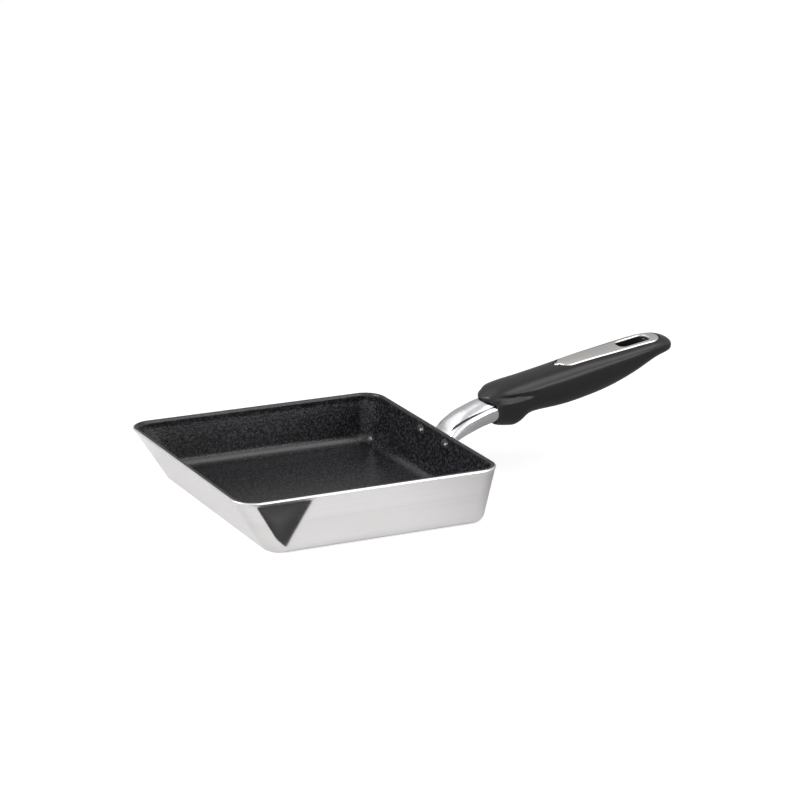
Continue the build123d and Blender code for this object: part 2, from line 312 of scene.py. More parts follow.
def pan_skin():
    """Steel skin, outer face up to the bead and back down behind the coating, and its bead share."""
    outer, base_middle = pan_shell(0, 0, BASE_EDGE, STEEL_RIM)
    inner, inside_middle = pan_shell(SKIN_WALL, SKIN_WALL, BASE_EDGE - SKIN_WALL, STEEL_BACK)
    grid = np.stack(outer + inner[::-1])
    return closed_shell(grid, base_middle, inside_middle), rim_share(grid, 34.8, 35.4)


def pan_coating():
    """Coating, cooking face up over the rim and its hidden back, and its rim share."""
    inner, floor_middle = pan_shell(WALL, FLOOR_Z, FLOOR_EDGE, COAT_RIM)
    back, back_middle = pan_shell(WALL - COAT_THICKNESS, FLOOR_Z - COAT_THICKNESS,
                                  FLOOR_EDGE + COAT_THICKNESS, COAT_BACK)
    grid = np.stack(inner + back[::-1])
    return closed_shell(grid, floor_middle, back_middle), rim_share(grid, 35.0, 36.5)


# Rivets

def turned(profile, sides=48):
    """Rings of a profile of (radius, height) pairs turned about the Z axis, with its two poles."""
    profile = np.array(profile, float)
    angle = np.linspace(0, 2 * np.pi, sides, endpoint=False)
    radius, height = profile[1:-1, 0][:, None], profile[1:-1, 1][:, None]
    grid = np.stack([radius * np.cos(angle), radius * np.sin(angle), height + 0 * angle], axis=-1)
    return grid, np.array([0, 0, profile[0, 1]]), np.array([0, 0, profile[-1, 1]])


def on_grip_wall(points, side):
    """Move points from the XY plane to the outer face of the grip-side wall, +Z out of the pan."""
    wall_x = RIM_LENGTH / 2 - GRIP_SIDE_LEAN * (1 - RIVET_Z / PAN_HEIGHT)
    out = np.array([math.cos(WALL_TILT), 0, -math.sin(WALL_TILT)])
    across = np.array([0.0, 1.0, 0.0])
    origin = np.array([wall_x, side * RIVET_SPACING / 2, RIVET_Z])
    return origin + points @ np.stack([across, np.cross(out, across), out])


def rivet(side):
    """Domed head inside the pan, shank, and formed tail on the flange, turned as one profile.

    The cap is an arc of CAP_SWEEP radians stretched to its radius and rise. The head's rim and
    the tail are quarter ellipses.
    """
    share = np.linspace(0, 1, 13)
    quarter = share * np.pi / 2
    under, seat, outside = -WALL - RIVET_OVERLAP, -WALL + RIVET_OVERLAP, FLANGE_WALL - RIVET_OVERLAP
    level = math.cos(CAP_SWEEP)
    cap = [(RIVET_CAP * math.sin(a) / math.sin(CAP_SWEEP),
            under - HEAD_RISE - CAP_RISE * (math.cos(a) - level) / (1 - level))
           for a in share * CAP_SWEEP]
    edge = [(RIVET_CAP + (RIVET_HEAD - RIVET_CAP) * math.sin(a), under - HEAD_RISE * math.cos(a))
            for a in quarter[3:]]
    shank = [(RIVET_HEAD, seat), (RIVET_SHANK, seat), (RIVET_SHANK, outside), (RIVET_TAIL, outside)]
    tail = [(RIVET_TAIL * math.cos(a), FLANGE_WALL + TAIL_RISE * math.sin(a)) for a in quarter]
    points, quads, triangles = closed_shell(*turned(cap + edge + shank + tail))
    return on_grip_wall(points, side), quads, triangles


# Neck

# Share along the neck, of its rise, of its half width and of its half height
NECK_SHARES = np.array([
    (0.00, 0.00, 0.97, 0.46), (0.06, 0.02, 0.98, 0.54), (0.12, 0.15, 1.00, 0.76),
    (0.18, 0.29, 1.00, 0.88), (0.28, 0.47, 1.00, 0.94), (0.40, 0.61, 0.98, 0.96),
    (0.53, 0.74, 0.93, 0.98), (0.67, 0.83, 0.88, 0.97), (0.80, 0.90, 0.86, 0.97),
    (1.00, 1.00, 0.86, 0.92)])
NECK_RIDGE, NECK_SAG, NECK_BELLY = 0.12, 1.2, 0.93
NECK_TOP_HANDLES, NECK_LOW_HANDLES = (0.57, 0.52), (0.60, 0.60)
CROWDING = 0.09

# Place along X and height of the pressed seam on the neck's sides
SEAM_LINE = ((90.0, 31.6), (97.8, 37.6), (100.7, 39.9), (105.5, 42.8), (108.7, 44.3), (112.3, 45.6),
             (117.5, 47.2), (122.8, 48.7), (127.5, 49.8), (150.0, 54.5))
# Depth and width of the seam's groove and width of its painted shade; the share of the half width where
# the seam comes in at the sides, and places along X where the groove thins and where the painted shade
# starts and pales
SEAM_DEPTH, SEAM_WIDTH, SEAM_SHADE_WIDTH = 0.55, 0.45, 0.62
SEAM_SIDES, SEAM_THINS, SHADE_START, SHADE_PALES = (0.45, 0.8), (96, 130), (95.6, 97.4), (100, 124)
SHOULDER_RISE, SHOULDER_DROP, SHOULDER_WIDTH = 0.35, 1.9, 1.3


def quarters(half_width, crown, widest, belly, top_handles, low_handles, steps):
    """Section of four Bezier quarters, from the crown round by +Y, the belly and -Y.

    Handles are (level share, upright share). Inputs are columns, one row a section; the result
    is y and z arrays with 4 * steps columns. CROWDING spaces the points less evenly along a
    quarter, t + CROWDING sin(2 pi t) / 2 pi.
    """
    t = np.linspace(0, 1, steps, endpoint=False)[None, :]
    t = t + CROWDING * np.sin(2 * np.pi * t) / (2 * np.pi)
    parts = []
    for side, end_z, handles, way in ((1, crown, top_handles, 1), (1, belly, low_handles, -1),
                                      (-1, belly, low_handles, 1), (-1, crown, top_handles, -1)):
        level, upright = handles
        ends = (0 * crown, level * half_width, half_width, half_width)
        heights = (end_z, end_z, widest + upright * (end_z - widest), widest)
        parts.append((side * bezier(*ends[::way], t), bezier(*heights[::way], t)))
    return tuple(np.concatenate([part[k] for part in parts], axis=1) for k in (0, 1))


def neck_centre(x):
    """Height of the neck's middle line."""
    rise = natural_spline(NECK_SHARES[:, 0], NECK_SHARES[:, 1:2], (x - NECK_ROOT_X) / NECK_LENGTH)[:, 0]
    return NECK_END_Z - NECK_RISE + NECK_RISE * rise - NECK_SAG


def neck_section(x, grow, steps=40):
    """Rings of the neck at the stations x, grown by a gap."""
    read = natural_spline(NECK_SHARES[:, 0], NECK_SHARES[:, 2:], (x - NECK_ROOT_X) / NECK_LENGTH)
    half_width, half = NECK_WIDTH / 2 * read[:, [0]], NECK_HEIGHT / 2 * read[:, [1]]
    middle = neck_centre(x)[:, None]
    return quarters(half_width + grow, middle + half + grow, middle + half * NECK_RIDGE,
                    middle - NECK_BELLY * half - grow, NECK_TOP_HANDLES, NECK_LOW_HANDLES, steps)


def neck_body():
    """Neck from the pan's wall into the grip, with a pressed seam on both sides, and its share of
    painted seam shade.

    The seam is a narrow groove: points within half a millimetre of its line move in, less so
    towards the grip, and a shoulder swells just below it. Along the same line the colour is
    darkened with painted shade, which stands for the shadow in the seam's gap.
    """
    x = NECK_ROOT_X + NECK_LENGTH * np.linspace(0, 1, 110)
    y, z = neck_section(x, 0, 64)
    across = np.broadcast_to(x[:, None], y.shape)
    above = z - np.interp(across, *np.transpose(SEAM_LINE))
    sides = smooth_step(*SEAM_SIDES, np.abs(y) / (NECK_WIDTH / 2))
    depth = SEAM_DEPTH * (1 - 0.6 * smooth_step(*SEAM_THINS, across))
    shoulder = SHOULDER_RISE * bump(above, -SHOULDER_DROP, SHOULDER_WIDTH)
    y = y + np.sign(y) * sides * (shoulder - depth * bump(above, 0, SEAM_WIDTH))
    grid = np.stack([across, y, z], axis=-1)
    # Painted shade along the seam: it starts near the root and pales towards the grip
    painted_shade_fade = smooth_step(*SHADE_START, across) * (1 - 0.30 * smooth_step(*SHADE_PALES, across))
    seam = sides * bump(above, 0, SEAM_SHADE_WIDTH) * painted_shade_fade
    shell = closed_shell(grid, grid[0].mean(axis=0), grid[-1].mean(axis=0))
    return shell, np.append(seam.ravel(), (0, 0))


def rounded_plate(width, height, thickness, corner, edge):
    """Flat plate on the XY plane with rounded corners and softened upper edge."""
    quarter = np.linspace(0, np.pi / 2, 9)
    angle = np.concatenate([k * np.pi / 2 + quarter for k in range(4)])
    signs = np.repeat([(1, 1), (-1, 1), (-1, -1), (1, -1)], len(quarter), axis=0)
    centres = signs * (width / 2 - corner, height / 2 - corner)
    levels = [(-0.3 * corner, 0.0), (0.0, 0.0)]
    levels += [(-edge * (1 - math.cos(a)), thickness - edge + edge * math.sin(a))
               for a in np.linspace(0, np.pi / 2, 6)]
    levels += [(-0.5 * corner, thickness)]
    rings = [np.column_stack([centres + arc(0, 0, corner + inset, angle), np.full(len(angle), level)])
             for inset, level in levels]
    return closed_shell(np.stack(rings), (0, 0, 0), (0, 0, thickness))


def neck_flange():
    """Flange riveted to the wall."""
    points, quads, triangles = rounded_plate(FLANGE_WIDTH, FLANGE_HEIGHT, FLANGE_WALL, FLANGE_CORNER,
                                             FLANGE_EDGE)
    return on_grip_wall(points, 0), quads, triangles


# Grip

# Share along the grip, of its half width, then crown, widest line and belly above the axis as
# shares of its thickness, then how far the top runs level and how far its side stands upright
GRIP_SHARES = np.array([
    (0.013, 0.15, 0.245, 0.212, 0.180, 0.64, 0.45), (0.021, 0.34, 0.292, 0.218, 0.000, 0.64, 0.45),
    (0.041, 0.64, 0.350, 0.232, -0.280, 0.64, 0.45), (0.075, 0.88, 0.425, 0.225, -0.497, 0.66, 0.45),
    (0.136, 0.93, 0.462, 0.205, -0.622, 0.68, 0.45), (0.180, 0.93, 0.466, 0.185, -0.668, 0.70, 0.45),
    (0.208, 0.925, 0.466, 0.172, -0.618, 0.72, 0.45), (0.235, 0.92, 0.470, 0.163, -0.520, 0.73, 0.45),
    (0.262, 0.92, 0.474, 0.158, -0.480, 0.74, 0.46), (0.318, 0.92, 0.478, 0.155, -0.490, 0.76, 0.48),
    (0.413, 0.94, 0.490, 0.160, -0.533, 0.79, 0.49), (0.534, 0.97, 0.500, 0.190, -0.523, 0.83, 0.50),
    (0.669, 1.00, 0.485, 0.225, -0.441, 0.90, 0.50), (0.804, 0.99, 0.480, 0.245, -0.232, 0.93, 0.50),
    (0.885, 0.92, 0.465, 0.250, -0.053, 0.92, 0.52), (0.939, 0.78, 0.415, 0.235, -0.010, 0.86, 0.54),
    (0.974, 0.54, 0.322, 0.190, -0.003, 0.78, 0.56), (0.992, 0.22, 0.190, 0.110, 0.032, 0.66, 0.55)])
# Share of the mouth's setback, and height above the axis as a share of the thickness
MOUTH_SHARES = np.array([(0.08, 0.231), (0.35, 0.199), (0.61, 0.165), (0.745, 0.131), (0.89, 0.021),
                         (1.02, -0.158), (1.075, -0.348), (1.12, -0.500)])
GRIP_STEPS, GRIP_ROWS = 40, 150
GRIP_LOW_HANDLES = (0.64, 0.58)
# Sections that the mouth stays ahead of, and that the inlay stays behind
MOUTH_KNOT, CROWN_KNOT = 6, 7
# Depths of the socket's rings, and how the tail closes: shrink and push along X
SOCKET_DEPTHS = (6.0, 4.0, 2.0, 0.8)
TAIL_RINGS, TAIL_PUSH = ((0.93, 0.18), (0.78, 0.36), (0.5, 0.5)), 0.56

# Place along X and height of the valley below the ridge, and of the swell under it
VALLEY_LINE = ((124, 57.2), (128, 56.8), (136, 55.9), (146, 55.7), (156, 55.9))
SWELL_LINE = ((130, 50.6), (134, 51.2), (145, 52.9), (151, 54.2))
VALLEY_DEPTH, VALLEY_WIDTH, SWELL_RISE, SWELL_WIDTH = 1.6, 1.9, 0.6, 2.0
VALLEY_START, VALLEY_END, VALLEY_SIDES = (122, 130), (142, 164), (5, 11)


def grip_knots():
    """Centripetal knots: the square root of the distance between neighbouring sections, summed."""
    scale = np.array([GRIP_LENGTH, GRIP_WIDTH / 2, GRIP_THICKNESS, GRIP_THICKNESS, GRIP_THICKNESS])
    steps = np.sqrt(np.linalg.norm(np.diff(GRIP_SHARES[:, :5] * scale, axis=0), axis=1))
    return np.concatenate([[0], np.cumsum(steps)])


GRIP_KNOTS = grip_knots()


def grip_sections(at):
    """x, y and z of the grip's sections at the spline places `at`."""
    read = natural_spline(GRIP_KNOTS, GRIP_SHARES, at)
    along, width, crown, widest, belly, level, upright = (read[:, [k]] for k in range(7))
    crown, widest, belly = (AXIS_START + GRIP_RISE * along + GRIP_THICKNESS * share
                            for share in (crown, widest, belly))
    y, z = quarters(GRIP_WIDTH / 2 * width, crown, widest, belly, (level, upright), GRIP_LOW_HANDLES,
                    GRIP_STEPS)
    return NOSE_X + GRIP_LENGTH * along + 0 * y, y, z


def mouth_x(z):
    """Where the mouth's cut lies for a height, from a spline through its shares."""
    x = NOSE_X + MOUTH_SETBACK * MOUTH_SHARES[:, 0]
    up = AXIS_START + GRIP_SLOPE * (x - NOSE_X) + GRIP_THICKNESS * MOUTH_SHARES[:, 1]
    knots = np.concatenate([[0], np.cumsum(np.hypot(np.diff(x), np.diff(up)))])
    fine = natural_spline(knots, np.stack([x, up], axis=1), np.linspace(0, knots[-1], 200))
    order = np.argsort(fine[:, 1])
    cut = np.interp(z, fine[order, 1], fine[order, 0])
    return np.where(z > fine[:, 1].max(), NOSE_X - GRIP_LENGTH, cut)


def mouth_start():
    """For each column, the spline place where the grip's surface leaves the mouth's cut."""
    at = np.linspace(0, GRIP_KNOTS[MOUTH_KNOT], 900)
    x, _, z = grip_sections(at)
    ahead = x < mouth_x(z)
    last = np.where(ahead.any(axis=0), len(at) - 1 - np.argmax(ahead[::-1], axis=0), -1)
    return np.where(last >= 0, at[np.minimum(last + 1, len(at) - 1)], 0.0)


def grip_columns(places):
    """Surface points for a grid of spline places, one column a place round the section."""
    low, high = places.min(), places.max()
    fine = np.linspace(low, high, 1500)
    row = (places - low) / (high - low) * (len(fine) - 1)
    column = np.broadcast_to(np.arange(places.shape[1]), places.shape)
    return np.stack([read_table(values, row, column) for values in grip_sections(fine)], axis=-1)


def side_valley(grid):
    """Shallow valley below the ridge behind the mouth, and the swell under it."""
    x, y, z = (grid[..., k] for k in range(3))
    strength = (smooth_step(*VALLEY_START, x) * (1 - smooth_step(*VALLEY_END, x))
                * smooth_step(*VALLEY_SIDES, np.abs(y)))
    valley, swell = (np.interp(x, *np.transpose(line)) for line in (VALLEY_LINE, SWELL_LINE))
    moved = grid.copy()
    moved[..., 1] += np.sign(y) * strength * (SWELL_RISE * bump(z, swell, SWELL_WIDTH)
                                              - VALLEY_DEPTH * bump(z, valley, VALLEY_WIDTH))
    return moved


def socket_ring(x, turn, gap, limit):
    """Ring that follows the neck's section with a gap, at a place along X and a turn for each point.

    The radius is read from a table of the sections' radii by place and turn, and kept under a
    limit.
    """
    stations = np.linspace(NECK_ROOT_X + 20, NECK_ROOT_X + NECK_LENGTH, 60)
    turns = np.linspace(-np.pi, np.pi, 361)
    y, z = neck_section(stations, gap)
    height = z - neck_centre(stations)[:, None]
    table = np.stack([np.interp(turns, angles, radii, period=2 * np.pi)
                      for angles, radii in zip(np.arctan2(y, height), np.hypot(y, height))])
    row = np.clip((x - stations[0]) / (stations[1] - stations[0]), 0, len(stations) - 1.001)
    radius = np.minimum(read_table(table, row, (turn + np.pi) / (turns[1] - turns[0])), limit)
    return np.stack([x, radius * np.sin(turn), neck_centre(x) + radius * np.cos(turn)], axis=-1)


def grip_body():
    """Grip: socket, rounded mouth and outer form as one grid of rings, closed at both ends.

    Outer rows run from the mouth's edge to the tail. The lip is a quadratic Bezier from the
    outer face round the cut's edge into the cut. The socket follows the neck with a gap, as
    far as the wall leaves room for it.
    """
    start = mouth_start()
    places = start + (GRIP_KNOTS[-1] - start) * np.linspace(0, 1, GRIP_ROWS)[:, None]
    outer = side_valley(grip_columns(places))
    edge = outer[0]
    x = edge[:, 0]
    turn = np.arctan2(edge[:, 1], edge[:, 2] - neck_centre(x))
    reach = np.hypot(edge[:, 1], edge[:, 2] - neck_centre(x)) - LIP
    inner = socket_ring(x, turn, SOCKET_GAP, reach)
    width = np.linalg.norm(inner - edge, axis=1, keepdims=True)
    into = edge + (inner - edge) * np.minimum(LIP / np.maximum(width, 1e-6), 0.6)
    run = np.linalg.norm(outer[1] - outer[0], axis=1, keepdims=True)
    back = edge + (outer[1] - edge) * np.minimum(LIP / np.maximum(run, 1e-6), 0.85)
    t = np.linspace(0, 1, 7)[:, None, None]
    lip = (1 - t) ** 2 * into + 2 * t * (1 - t) * edge + t ** 2 * back
    socket = [socket_ring(x + depth, turn, SOCKET_GAP, reach - 0.02 * depth)
              for depth in SOCKET_DEPTHS]
    middle = socket[0].mean(axis=0)
    bottom = [middle + (socket[0] - middle) * shrink for shrink in (0.3, 0.7)]
    tail = outer[-1]
    end = tail.mean(axis=0)
    closing = [end + (tail - end) * shrink + (push, 0, 0) for shrink, push in TAIL_RINGS]
    grid = np.concatenate([np.stack(bottom + socket), inner[None], lip, outer[1:], np.stack(closing)])
    return closed_shell(grid, middle, end + (TAIL_PUSH, 0, 0))


# Inlay

# Rings of the plate's edge and of its slot's: inset or growth, height above the crown, bevel share
OUTER_BEVEL = ((0.0, INLAY_FOOT, 1), (0.0, -0.45, 1), (0.04, -0.37, 1), (0.45, 0.04, 1),
               (0.55, 0.09, 0.5), (0.7, INLAY_LIFT, 0))
SLOT_BEVEL = ((0.95, INLAY_LIFT, 0), (0.8, 0.09, 0.5), (0.7, 0.03, 1), (0.0, -0.67, 1),
              (0.0, INLAY_FOOT, 1))


def crown_height(x, y):
    """Height of the grip's top over a place in plan, from the upper quarter of its section."""
    gx, gy, gz = grip_sections(np.linspace(GRIP_KNOTS[CROWN_KNOT], GRIP_KNOTS[-1], 700))
    station, half = gx[:, 0], gy[:, GRIP_STEPS]
    top = slice(0, GRIP_STEPS + 1)
    widths = np.linspace(0, 1, 60)
    table = np.stack([np.interp(widths * reach, across, heights)
                      for reach, across, heights in zip(half, gy[:, top], gz[:, top])])
    row = np.interp(x, station, np.arange(len(station)))
    column = np.clip(np.abs(y) / np.interp(x, station, half), 0, 1) * (len(widths) - 1)
    return read_table(table, row, column)


def inlay_outline(grow=0.0):
    """Plan of the inlay: two round ends joined by tangents, with a small tongue in front.

    Growing adds the same amount to both radii and to the tongue, which keeps at least half its
    width when the outline shrinks.
    """
    lean = math.asin((INLAY_REAR_RADIUS - INLAY_FRONT_RADIUS) / INLAY_SPAN)
    front_x, rear_x = NOSE_X + INLAY_FRONT_CENTRE, NOSE_X + INLAY_FRONT_CENTRE + INLAY_SPAN
    front_radius, rear_radius = INLAY_FRONT_RADIUS + grow, INLAY_REAR_RADIUS + grow
    nib = max(grow, -TONGUE_WIDTH / 4)
    tongue, round_off = TONGUE_WIDTH / 2 + nib, TONGUE_CORNER + nib
    tip = front_x - INLAY_FRONT_RADIUS - TONGUE_LENGTH - nib
    joint = math.asin(tongue / front_radius)
    root_x = front_x - front_radius * math.cos(joint)
    rear = arc(rear_x, 0, rear_radius, np.linspace(-(np.pi / 2 + lean), np.pi / 2 + lean, 90))
    upper = arc(front_x, 0, front_radius, np.linspace(np.pi / 2 + lean, np.pi - joint, 50))
    straight = rear[-1] + (upper[0] - rear[-1]) * np.linspace(0, 1, 60)[1:-1, None]
    nose = arc(tip + round_off, tongue - round_off, round_off, np.linspace(np.pi / 2, np.pi, 7))
    side = np.stack([root_x + (tip + round_off - root_x) * np.linspace(0, 1, 9)[1:-1],
                     np.full(7, tongue)], axis=-1)
    half = np.concatenate([straight, upper, side, nose])
    return np.concatenate([rear, half, half[::-1] * (1, -1)])


def slot_radius(angle, grow):
    """Distance from the slot's centre to its rounded rectangle along an angle, by bisection."""
    a, b, r = SLOT_LENGTH / 2 + grow, SLOT_WIDTH / 2 + grow, SLOT_CORNER + grow
    cos, sin = np.abs(np.cos(angle)), np.abs(np.sin(angle))
    low, high = np.zeros_like(cos), np.full_like(cos, a + b)
    for _ in range(40):
        middle = (low + high) / 2
        u, v = middle * cos - (a - r), middle * sin - (b - r)
        inside = np.hypot(np.maximum(u, 0), np.maximum(v, 0)) + np.minimum(np.maximum(u, v), 0) < r
        low, high = np.where(inside, middle, low), np.where(inside, high, middle)
    return low


def grip_inlay():
    """Steel plate with bevels round its edge and slot, bent to the grip's crown, and its bevel share.

    Every ring is the plate's outline or the slot's, or a share of the way between them along
    rays from the slot's centre, at a height above the crown.
    """
    centre = (NOSE_X + SLOT_CENTRE, 0.0)
    ray = inlay_outline() - centre
    angle = np.arctan2(ray[:, 1], ray[:, 0])
    plans = [(inlay_outline(-inset), lift, bevel) for inset, lift, bevel in OUTER_BEVEL]
    slot = [(arc(*centre, slot_radius(angle, grow), angle), lift, bevel)
            for grow, lift, bevel in SLOT_BEVEL]
    start, end = plans[-1][0], slot[0][0]
    plans += [(start + (end - start) * share, INLAY_LIFT, 0) for share in np.linspace(0, 1, 16)[1:-1]]
    plans += slot
    rings = [np.column_stack([plan, crown_height(*plan.T) + lift]) for plan, lift, _ in plans]
    return closed_shell(np.stack(rings)), np.repeat([bevel for _, _, bevel in plans], len(ray))


# Node tools

def set_inputs(tree, made, given):
    """Link or set inputs of a node, each to a socket or a value."""
    for key, value in given.items():
        if isinstance(value, bpy.types.NodeSocket):
            tree.links.new(value, made.inputs[key])
        else:
            made.inputs[key].default_value = value


def node(tree, kind, given=None, **settings):
    """New node with its settings and inputs."""
    made = tree.nodes.new(kind)
    for key, value in settings.items():
        setattr(made, key, value)
    set_inputs(tree, made, given or {})
    return made


def maths(tree, operation, first, second):
    """Result of one operation on two sockets or values."""
    return node(tree, "ShaderNodeMath", {0: first, 1: second}, operation=operation).outputs[0]


def spread(tree, value, low, high, start=0.0, end=1.0, kind="LINEAR"):
    """Value from start..end mapped to low..high, and held beyond."""
    inputs = {"Value": value, "From Min": start, "From Max": end, "To Min": low, "To Max": high}
    return node(tree, "ShaderNodeMapRange", inputs, interpolation_type=kind).outputs[0]


def noise(tree, place, scale, detail, roughness):
    """Value of a noise at a place."""
    return node(tree, "ShaderNodeTexNoise", {"Vector": place, "Scale": scale, "Detail": detail,
                                             "Roughness": roughness}).outputs[0]


def tint(tree, value, dark, light):
    """Colour between dark and light by a value."""
    return node(tree, "ShaderNodeMix", {0: value, 6: dark, 7: light}, data_type="RGBA").outputs[2]


def point_share(tree, name):
    """Share kept on the mesh's points under a name."""
    return node(tree, "ShaderNodeAttribute", attribute_name=name).outputs["Fac"]


def new_group(name, inputs, outputs):
    """Empty shader node group: a place and named numbers in, named numbers out."""
    group = bpy.data.node_groups.new(name, "ShaderNodeTree")
    group.interface.new_socket(name="Vector", in_out="INPUT", socket_type="NodeSocketVector")
    for socket, value in inputs.items():
        made = group.interface.new_socket(name=socket, in_out="INPUT", socket_type="NodeSocketFloat")
        made.default_value = value
    for socket in outputs:
        group.interface.new_socket(name=socket, in_out="OUTPUT", socket_type="NodeSocketFloat")
    return group, group.nodes.new("NodeGroupInput").outputs, group.nodes.new("NodeGroupOutput")


def brushing_group():
    """Fine brushed lines: noise stretched along the brushing, as a shade and a height."""
    group, given, end = new_group("Brushing", {"Along": 8.0, "Across": 900.0}, ("Shade", "Height"))
    apart = node(group, "ShaderNodeSeparateXYZ", {0: given["Vector"]}).outputs
    stretched = {axis: maths(group, "MULTIPLY", apart[axis], given[factor])
                 for axis, factor in enumerate(("Along", "Along", "Across"))}
    place = node(group, "ShaderNodeCombineXYZ", stretched).outputs[0]
    fine, broad = noise(group, place, 1.0, 3.0, 0.6), noise(group, place, 0.12, 2.0, 0.5)
    shade = maths(group, "MULTIPLY", maths(group, "ADD", fine, broad), 0.5)
    set_inputs(group, end, {"Shade": shade, "Height": fine})
    return group


def speckle_group():
    """Fine light specks on a dark ground, with a pebbled height."""
    group, given, end = new_group("Speckle", {"Scale": 900.0, "Coverage": 0.5}, ("Specks", "Height"))
    pebbles = noise(group, given["Vector"], given["Scale"], 2.0, 0.65)
    full = maths(group, "ADD", given["Coverage"], 0.18)
    specks = spread(group, pebbles, 0.0, 1.0, given["Coverage"], full)
    set_inputs(group, end, {"Specks": specks, "Height": pebbles})
    return group


# Finishes

BRUSHING, SPECKLE = brushing_group(), speckle_group()
METAL = {"Metallic": 1.0}


def piece_finish(name, grain, sizes, dark, light, rough, relief, values, edge=None, lengthwise=False):
    """Material whose colour, gloss and relief follow one grain.

    sizes are the grain's own two numbers, dark, light and rough its colours and roughness at
    either end, and relief the strength and the distance in metres of its bump. values are the
    shader's uniform inputs, and edge is a share on the mesh with the roughness that it brings.
    lengthwise lays the lines along the grip.
    """
    material = bpy.data.materials.new(name)
    material.use_nodes = True
    tree = material.node_tree
    place = node(tree, "ShaderNodeTexCoord").outputs["Object"]
    if lengthwise:
        turn = {"Vector": place, "Rotation": (math.pi / 2, 0, 0)}
        place = node(tree, "ShaderNodeMapping", turn).outputs[0]
    inputs = {"Vector": place, 1: sizes[0], 2: sizes[1]}
    share, height = node(tree, "ShaderNodeGroup", inputs, node_tree=grain).outputs
    gloss = spread(tree, share, *rough)
    if edge:
        inputs = {0: point_share(tree, edge[0]), 2: gloss, 3: edge[1]}
        gloss = node(tree, "ShaderNodeMix", inputs, data_type="FLOAT").outputs[0]
    inputs = {"Height": height, "Strength": relief[0], "Distance": relief[1]}
    lumps = node(tree, "ShaderNodeBump", inputs).outputs[0]
    colour = tint(tree, share, (*dark, 1), (*light, 1))
    set_inputs(tree, tree.nodes["Principled BSDF"],
               {"Base Color": colour, "Roughness": gloss, "Normal": lumps, **values})
    return material


def paint_seam_shade(material):
    """Painted shade along the neck's seam: the colour darkens to near black where the seam's gap would
    lie in shadow.
    """
    tree = material.node_tree
    colour = tree.nodes["Principled BSDF"].inputs["Base Color"]
    # Painted shade: the seam's share darkens the base colour towards near black, standing for the
    # shadow in the gap
    gap = spread(tree, point_share(tree, "seam"), 0.0, 1.0, 0.12, 0.75)
    tree.links.new(tint(tree, gap, colour.links[0].from_socket, (0.03, 0.03, 0.034, 1)), colour)


steel = piece_finish("satin steel", BRUSHING, (7.0, 620.0), (0.58, 0.565, 0.565), (0.80, 0.785, 0.785),
                     (0.12, 0.26), (0.06, 0.0001), METAL, ("bead", 0.40))
coat = piece_finish("non-stick coat", SPECKLE, (650.0, 0.48), (0.003, 0.003, 0.004),
                    (0.027, 0.0265, 0.031), (0.27, 0.40), (0.5, 0.0003), {}, ("rim", 0.30))
rivet_black = piece_finish("black rivet", SPECKLE, (2500.0, 0.52), (0.004, 0.004, 0.005),
                           (0.010, 0.010, 0.011), (0.16, 0.22), (0.05, 0.0001),
                           {"Specular IOR Level": 0.45})
bright = piece_finish("polished steel", BRUSHING, (240.0, 620.0), (0.62, 0.62, 0.64),
                      (0.96, 0.96, 0.98), (0.16, 0.30), (0.45, 0.00015), METAL)
# Painted shade along the neck's seam
paint_seam_shade(bright)
moulded = piece_finish("moulded black", SPECKLE, (1800.0, 0.45), (0.007, 0.007, 0.008),
                       (0.011, 0.0108, 0.0125), (0.30, 0.38), (0.10, 0.0001),
                       {"Specular IOR Level": 0.38})
plate = piece_finish("inlay steel", BRUSHING, (20.0, 1600.0), (0.60, 0.585, 0.57), (0.74, 0.72, 0.70),
                     (0.30, 0.44), (0.08, 0.0001), METAL, ("polish", 0.30), lengthwise=True)
machined = piece_finish("machined steel", BRUSHING, (400.0, 1200.0), (0.46, 0.46, 0.47),
                        (0.62, 0.62, 0.63), (0.28, 0.42), (0.08, 0.0001), METAL)
aluminium = piece_finish("core aluminium", BRUSHING, (400.0, 1200.0), (0.70, 0.70, 0.72),
                         (0.84, 0.84, 0.86), (0.32, 0.46), (0.08, 0.0001), METAL)


def crisp(piece, degrees):
    """Shade smooth except over edges that turn more than an angle."""
    piece.data.set_sharp_from_angle(angle=math.radians(degrees))


def dress(thing, material):
    """Give a piece or a CAD node one material."""
    thing.data.materials.clear()
    thing.data.materials.append(material)


# Pieces

skin_shell, skin_bead = pan_skin()
skin = add_piece("pan_skin", [skin_shell], ["pan_outer_skin"], {"bead": skin_bead})
coating_shell, coating_rim = pan_coating()
coating = add_piece("pan_coating", [coating_shell], ["nonstick_coating"],
                    {"rim": coating_rim})
rivets = [add_piece(name, [rivet(side)], [node_name])
          for name, node_name, side in (("rivet_head_left", "rivet_left", 1),
                                        ("rivet_head_right", "rivet_right", -1))]
# The neck's share of painted seam shade, with none on the flange
neck_shell, painted_seam_shade = neck_body()
flange_shell = neck_flange()
painted_seam_shade = np.append(painted_seam_shade, np.zeros(len(flange_shell[0])))
neck = add_piece("steel_neck", [neck_shell, flange_shell], ["neck"],
                 {"seam": painted_seam_shade})
grip = add_piece("moulded_grip", [grip_body()], ["grip"])
inlay_shell, inlay_polish = grip_inlay()
inlay = add_piece("inlay_plate", [inlay_shell], ["grip_inlay"], {"polish": inlay_polish})

for piece, finish in ((skin, steel), (coating, coat), (rivets[0], rivet_black),
                      (rivets[1], rivet_black), (neck, bright), (grip, moulded), (inlay, plate)):
    dress(piece, finish)
for key, cad_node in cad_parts.items():
    dress(cad_node, aluminium if key == "pan_core" else machined)


